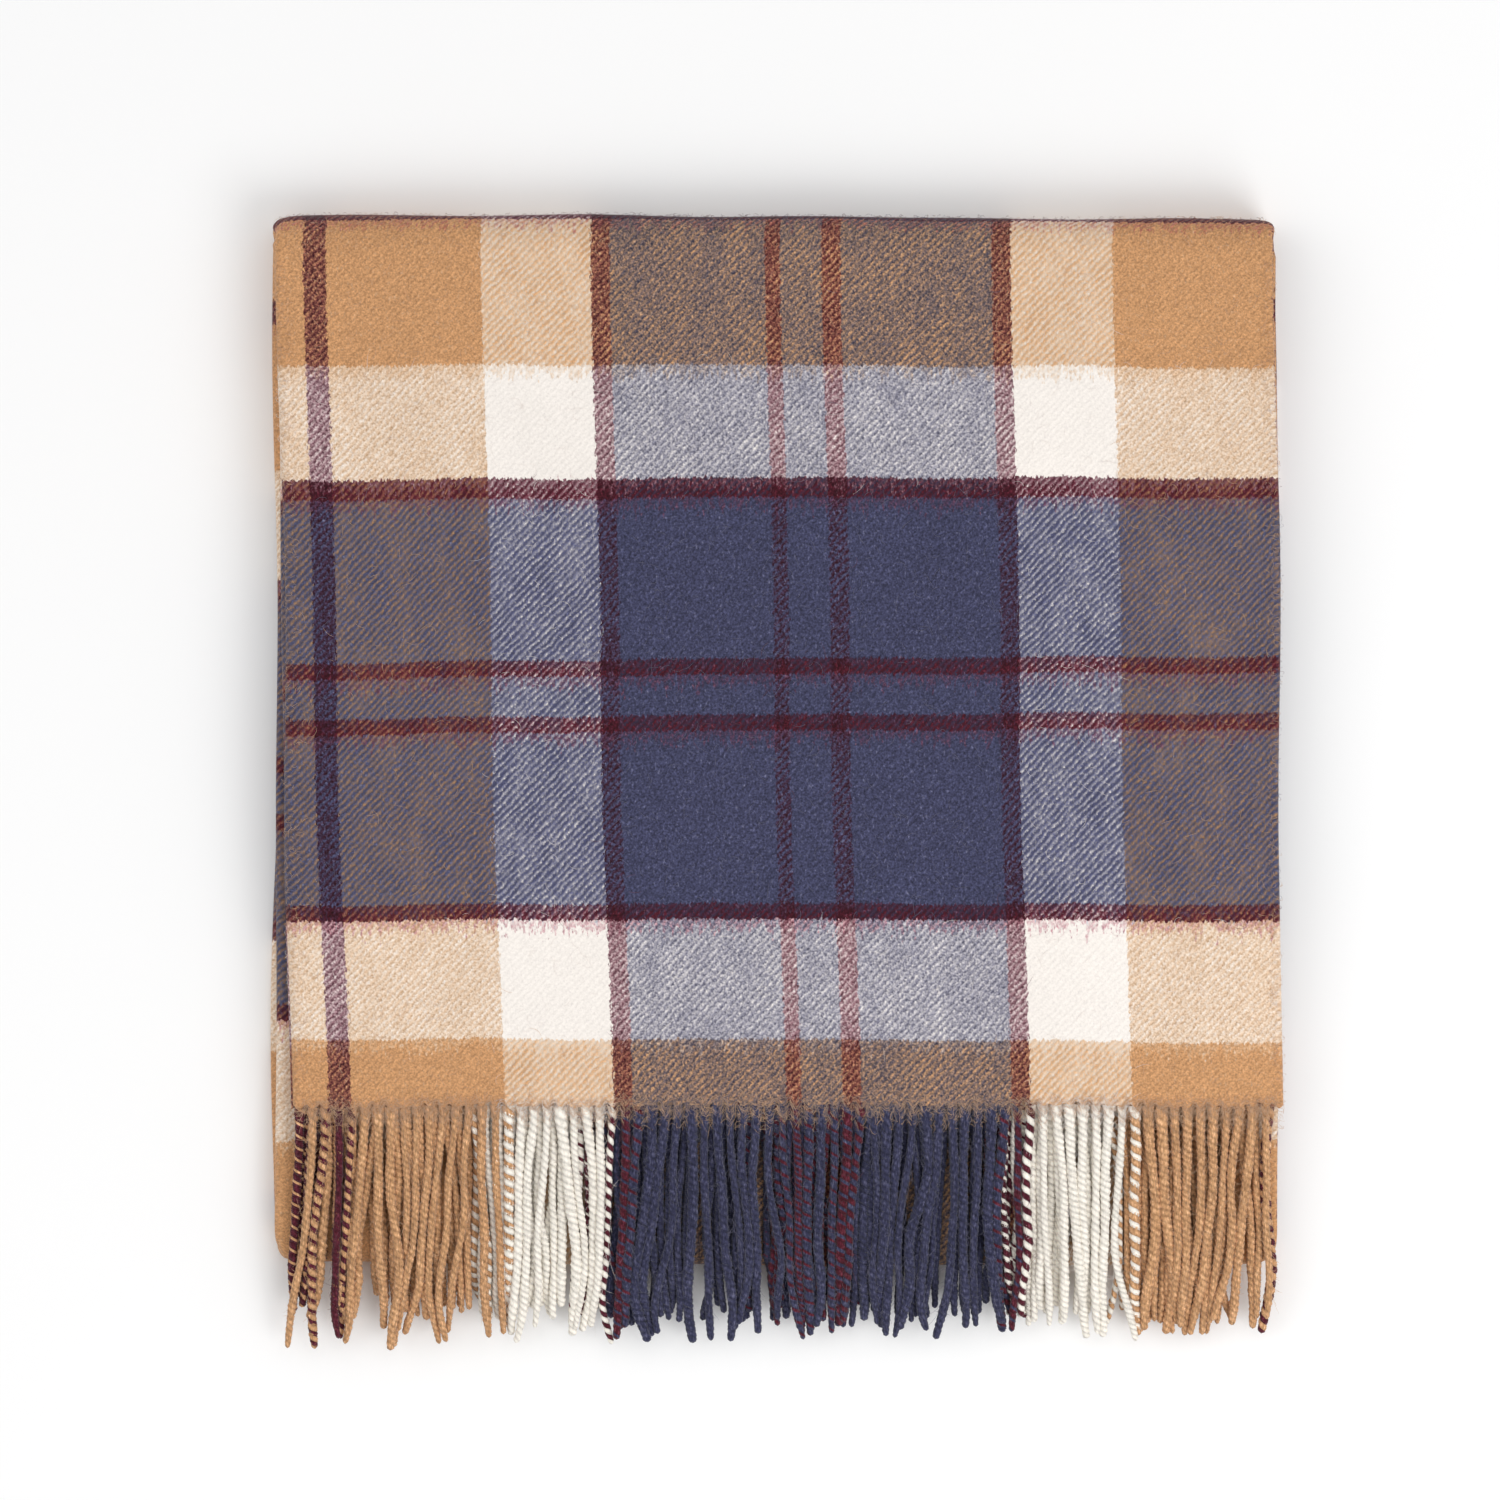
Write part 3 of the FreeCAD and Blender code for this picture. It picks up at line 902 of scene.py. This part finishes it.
def front_tassel_lines():
    """Each front tassel's row, third, root across the cloth, and points from root to tip."""
    rng = np.random.default_rng(21)
    rows, thirds, grown = [], [], []
    for row, (third, span) in enumerate(FRINGE_SPANS.items()):
        places = tassel_roots(span)
        rows += [row] * len(places)
        thirds += [third] * len(places)
        grown += list(places)
    rows = np.array(rows)
    count = len(rows)
    roots = fold(np.array(grown), np.full(count, ROOT_INSET))
    root_x = roots[:, 0, None]
    length = TASSEL_LENGTH - LENGTH_SPREAD * rng.beta(1.6, 2.6, count)
    length = length - LENGTH_SLOPE * (roots[:, 0] / PANEL_WIDTH) - ROW_SHORTFALL * (TOP_ROW - rows)
    share = np.linspace(0, 1, TASSEL_LEVELS)
    y = roots[:, 1, None] - length[:, None] * share
    tip = TIP_HEIGHT + rows * ROW_RISE + TIP_HEIGHT_SPREAD * rng.uniform(-1, 1, count)
    drift = tassel_drift(rng, rows, share)
    outwards = (2 * root_x / PANEL_WIDTH) ** 3
    x = root_x + TASSEL_DRIFT * drift + TASSEL_SPLAY * outwards * share ** 1.5
    floor_z = tassel_floor(y)
    z = np.maximum(tassel_heights(y, roots[:, 2], rows, tip), floor_z)

    # Within a row they keep their order and lie beside each other, but their roots stay put
    free = smooth(share * 9)[None, :]
    for row in range(TOP_ROW + 1):
        in_row = rows == row
        x[in_row] = np.sort(x[in_row], axis=0)
        moved_x, moved_z = part_tassels(x[in_row], z[in_row], floor_z[in_row])
        x[in_row] = moved_x * free + x[in_row] * (1 - free)
        z[in_row] = moved_z * free + z[in_row] * (1 - free)
    points = np.stack([x, y, z], axis=-1)
    return list(zip(rows, thirds, grown, points))


def resampled(points, step):
    """The same line with points at even steps, and how far along it each of them is."""
    lengths = np.concatenate([[0], np.cumsum(np.linalg.norm(np.diff(points, axis=0), axis=1))])
    count = max(8, int(round(lengths[-1] / step)))
    places = np.linspace(0, lengths[-1], count + 1)
    return np.stack([np.interp(places, lengths, points[:, k]) for k in range(3)], axis=-1), places


def tube_faces(rings, sides):
    """The faces of a closed tube of rings of points, with an end point at each end."""
    faces = []
    first, last = rings * sides, rings * sides + 1
    for c in range(sides):
        d = (c + 1) % sides
        for r in range(rings - 1):
            faces.append((r * sides + c, r * sides + d, (r + 1) * sides + d, (r + 1) * sides + c))
        faces.append((first, d, c))
        faces.append((last, (rings - 1) * sides + c, (rings - 1) * sides + d))
    return faces


def line_frame(line):
    """Two directions across a line at each of its points."""
    tangent = np.gradient(line, axis=0)
    tangent /= np.linalg.norm(tangent, axis=1, keepdims=True)
    side = np.cross(tangent, np.array([0.0, 0.0, 1.0]))
    side /= np.linalg.norm(side, axis=1, keepdims=True)
    return side, np.cross(side, tangent)


# Where the warp yarns of a cord grew, in pitches from its middle, going round the cord
PLY_YARNS = np.array([-0.7, 0.25, 0.7, -0.25])


def ply_twist(places, fan, rng):
    """How far the plies have turned at each place: slowly near the root, then steadily."""
    twist = 2 * math.pi / TWIST * rng.uniform(0.9, 1.1) * places ** 2 / (places + 4 * MM)
    return twist + 0.5 * (1 - fan) * np.sin(places / (13 * MM) + rng.uniform(0, 6))


def cord_radius(places, rng):
    """A cord's radius at each place: uneven, thinner towards the tip, and blunt at the end."""
    from_tip = places[-1] - places
    thinned = 0.78 + 0.22 * smooth(from_tip / TIP_TAPER)
    rounded = np.clip(1 - from_tip / TIP_ROUNDING, 0, 1)
    end = np.sqrt(np.clip(1 - rounded ** 2, 0.03, 1))
    slack = 1 + 0.06 * np.sin(places / (6 * MM) + rng.uniform(0, 6))
    slack = slack + 0.05 * np.sin(places / (2.3 * MM) + rng.uniform(0, 6))
    return TASSEL_RADIUS * rng.uniform(0.76, 1.18) * thinned * end * slack


def tassel_mesh(points, across, sides, step, rng, flatten=1.0):
    """One cord of two twisted plies: it fans out flat into the cloth and thins to its tip."""
    line, places = resampled(points, step)
    side, up = line_frame(line)
    theta = np.linspace(0, 2 * math.pi, sides, endpoint=False)
    fan = 1 - smooth(places / ROOT_FAN)
    turned = theta[None, :] + ply_twist(places, fan, rng)[:, None]
    lobes = 0.87 + 0.13 * np.abs(np.cos(theta))
    size = cord_radius(places, rng)
    fluffy = rng.normal(1.0, 0.055, (len(line), sides))
    radius = size[:, None] * lobes * fluffy
    around = np.stack([np.cos(turned), np.sin(turned)], axis=-1)
    wide = radius * (1 + 0.2 * fan[:, None])
    tall = radius * (1 - 0.5 * fan[:, None]) * flatten
    offset = side[:, None, :] * (wide * around[..., 0])[..., None]
    offset = offset + up[:, None, :] * (tall * around[..., 1])[..., None]
    rings = line[:, None, :] + offset

    # For the material: where each ply's yarn grew, how high it stands, which sets the painted shade
    # in its grooves, and a place in the fluff
    yarn = PLY_YARNS[(theta / (2 * math.pi) * len(PLY_YARNS)).astype(int)]
    cloth = np.zeros(rings.shape)
    cloth[..., 0] = across + TASSEL_PITCH * yarn
    cloth[..., 2] = np.abs(np.cos(theta))
    down = np.broadcast_to(places[:, None, None] + rng.uniform(0, 5), rings.shape[:2] + (1,))
    cord = np.concatenate([around * TASSEL_RADIUS, down], axis=-1)
    rings_and_ends = [(rings, line), (cloth, cloth[:, 0]), (cord, cord[:, 0])]
    with_ends = [
        np.concatenate([values.reshape(-1, 3), ends[:1], ends[-1:]])
        for values, ends in rings_and_ends
    ]
    return with_ends + [tube_faces(len(line), sides)]


def joined(name, parts):
    """Several tubes as one piece."""
    points, cloth, cord, part_faces = zip(*parts)
    faces = []
    base = 0
    for part_points, some in zip(points, part_faces):
        faces += [tuple(i + base for i in face) for face in some]
        base += len(part_points)
    return make_mesh(name, np.concatenate(points), faces,
                     cloth=np.concatenate(cloth), cord=np.concatenate(cord))


def warp_colour(across):
    """The name of the stripe that the warp yarn at this place is in."""
    place = ((across - WARP_START) / MM) % pattern_width(WARP)
    for colour, width in WARP:
        if place < width:
            return colour
        place -= width
    return WARP[-1][0]


def make_front_tassels(material, lines):
    """The front end's three rows of tassels, grouped by third and colour."""
    rng = np.random.default_rng(33)
    groups = {}
    for row, third, across, points in lines:
        yarn, _ = woven(across, 0.0)
        sides, step = (16, TWIST / 8) if row == TOP_ROW else (12, TWIST / 6)
        mesh = tassel_mesh(points, yarn, sides, step, rng)
        groups.setdefault((third, warp_colour(yarn)), []).append(mesh)
    made = {}
    for (third, colour), parts in groups.items():
        node = f"front_{third}_{colour}_tassels"
        piece = joined(f"{node}_yarn", parts)
        dress(piece, material)
        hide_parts(node)
        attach(piece, "upper_half")
        made.setdefault(f"front_{third}", []).append(piece)
    return made


def inner_tassel_line(start, rng):
    """A pressed tassel's points: it runs on in its layer, and sags with the front end."""
    share = np.linspace(0, 1, INNER_TASSEL_LEVELS)
    lean = rng.normal(0, 1.8) * MM
    wave = 1.1 * MM * np.sin(7 * share + rng.uniform(0, 6)) * share
    y = start[1] - INNER_TASSEL_LENGTH * share
    drop = smooth((INNER_EDGE_Y - y) / SAG_RUN) - smooth((INNER_EDGE_Y - start[1]) / SAG_RUN)
    level = np.clip((start[2] - LAP_Z) / (FRONT_Z - LEFT_DEPTH - LAP_Z), 0, 1)
    return np.stack([start[0] + lean * share + wave, y, start[2] - SAG * drop * level], axis=-1)


def make_inner_tassels(material):
    """The inner end's tassels, pressed flat between the layers round them."""
    rng = np.random.default_rng(45)
    made = {}
    for third, span in FRINGE_SPANS.items():
        roots = tassel_roots(span)
        starts = fold(roots, np.full(len(roots), INNER_END[1] - ROOT_INSET))
        parts = []
        for across, start in zip(roots, starts):
            line = inner_tassel_line(start, rng)
            parts.append(tassel_mesh(line, across, 10, TWIST / 5, rng, flatten=0.5))
        node = f"inner_end_{third}_tassels"
        piece = joined(f"{node}_yarn", parts)
        dress(piece, material)
        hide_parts(node)
        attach(piece, "upper_half")
        made[f"inner_end_{third}"] = [piece]
    return made


# ---------------- loose fibres

HAIR_RADIUS = 0.075 * MM
HAIR_SEGMENTS = 5
HAIR_ROOT = 0.15 * MM        # how deep in the cloth a fibre starts
WEFT_HAIRS = 0.6             # share of the fibres that are weft

FACE = (4 * MM, FRONT[1] - SPARE)
EDGE = (0, FRONT[1] - SPARE)
LEFT_ROUND = (LEFT_FOLD[0] / 2, 2 * MM)
RIGHT_ROUND = (CENTRE[1] - 2 * MM, RIGHT_FOLD[1] - 3 * MM)
TOP_ROUND = (OUTER_FOLD[0], (OUTER_FOLD[0] + OUTER_FOLD[1]) / 2 + 5 * MM)
# The front end's fibres: their number, where they grow across and along, reach, height, seed
FRONT_NAP = {
    "front_face_nap": (3800, CENTRE, FACE, 10 * MM, 0.7 * MM, 60),
    "front_left_edge_nap": (900, LEFT_ROUND, EDGE, 4 * MM, 2.2 * MM, 61),
    "front_right_edge_nap": (900, RIGHT_ROUND, EDGE, 4 * MM, 2.2 * MM, 62),
    "front_cloth_edge_nap": (3600, CENTRE, (-2 * MM, 3 * MM), 7 * MM, 1.2 * MM, 63),
    "front_tassel_root_nap": (3000, CENTRE, (-9 * MM, -1 * MM), 6 * MM, 0.8 * MM, 64),
}


def hair_mesh(line, coordinate):
    """One fibre: a three-sided tube that thins towards both ends."""
    side, up = line_frame(line)
    share = np.linspace(0, 1, len(line))
    size = HAIR_RADIUS * (0.35 + 0.65 * np.sin(math.pi * share))
    rings = []
    for turn in (0, 2 * math.pi / 3, 4 * math.pi / 3):
        around = side * math.cos(turn) + up * math.sin(turn)
        rings.append(line + around * size[:, None])
    rings = np.stack(rings, axis=1)
    points = np.concatenate([rings.reshape(-1, 3), line[:1], line[-1:]])
    cloth = np.broadcast_to(coordinate, points.shape)
    return points, cloth, np.zeros(points.shape), tube_faces(len(line), 3)


def nap(name, count, across_span, along_span, reach, lift, seed):
    """Fibres rooted in a stretch of the cloth's face, that lie on it or stand out of it."""
    rng = np.random.default_rng(seed)
    share = np.linspace(0, 1, HAIR_SEGMENTS + 1)
    heading = rng.uniform(0, 2 * math.pi, count)
    curl = rng.normal(0, 1.6, count)
    length = reach * rng.uniform(0.4, 1.0, count)
    across = rng.uniform(*across_span, count)
    along = rng.uniform(*along_span, count)
    is_weft = rng.random(count) < WEFT_HAIRS
    height = lift * rng.beta(1.2, 2.2, count)
    turned = heading[:, None] + curl[:, None] * share
    run = length[:, None] / HAIR_SEGMENTS
    a = across[:, None] + np.cumsum(np.cos(turned) * run, axis=1)
    b = along[:, None] + np.cumsum(np.sin(turned) * run, axis=1)
    place, normal = fold_with_normal(a, b)
    above = CLOTH / 2 - HAIR_ROOT + height[:, None] * np.sin(share * 2.4)
    lines = place + normal * above[..., None]
    coordinates = np.stack([*woven(across, along), is_weft], axis=-1)
    return joined(name, [hair_mesh(*hair) for hair in zip(lines, coordinates)])


def tassel_nap(lines, per_tassel, seed):
    """Fibres that stand out of the top row of tassels."""
    rng = np.random.default_rng(seed)
    share = np.linspace(0, 1, HAIR_SEGMENTS + 1)[:, None]
    parts = []
    for row, _, across, points in lines:
        if row != TOP_ROW:
            continue
        yarn, _ = woven(across, 0.0)
        side, up = line_frame(points)
        for _ in range(per_tassel):
            at = rng.integers(2, len(points) - 5)
            turn = rng.uniform(-0.3 * math.pi, 1.3 * math.pi)
            out = side[at] * math.cos(turn) + up[at] * abs(math.sin(turn))
            down = points[at] - points[at - 1]
            down = down / np.linalg.norm(down) * rng.normal(0.2, 1.0)
            bend = rng.normal(0, 1, 3)
            start = points[at] + out * TASSEL_RADIUS * 0.7
            reach = rng.uniform(2.0, 5.0) * MM
            line = start + reach * (out * 0.5 * share + down * share + 0.4 * bend * share ** 2)
            parts.append(hair_mesh(line, np.array([yarn + rng.normal(0, 1.2) * MM, 0.0, 0.0])))
    return joined("front_tassel_nap", parts)


def make_nap(material, tassel_lines):
    """Loose fibres on the front end's face, edges and tassels and on the outer top fold."""
    made = [nap(name, *choices) for name, choices in FRONT_NAP.items()]
    made.append(tassel_nap(tassel_lines, per_tassel=70, seed=68))
    for piece in made:
        dress(piece, material)
        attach(piece, "upper_half")
    on_fold = nap("outer_top_fold_nap", 1800, CENTRE, TOP_ROUND, 4 * MM, 2.2 * MM, 70)
    dress(on_fold, material)
    bend_at_hinge(on_fold)
    return made + [on_fold]


def declare(cloth, fringes, loose):
    """Goes through every cloth piece and gathers what is on it, but keeps nothing."""
    for name, (piece, flat, below) in cloth.items():
        on_it = list(fringes.get(name, []))
        if name == "front_centre_panel":
            on_it += loose


# ---------------- the scene

make_camera()
make_studio()
make_floor()
yarn = tassel_yarn()
cloth = make_cloth(plaid_cloth())
tassel_lines = front_tassel_lines()
fringes = {**make_front_tassels(yarn, tassel_lines), **make_inner_tassels(yarn)}
declare(cloth, fringes, make_nap(loose_fibres(), tassel_lines))
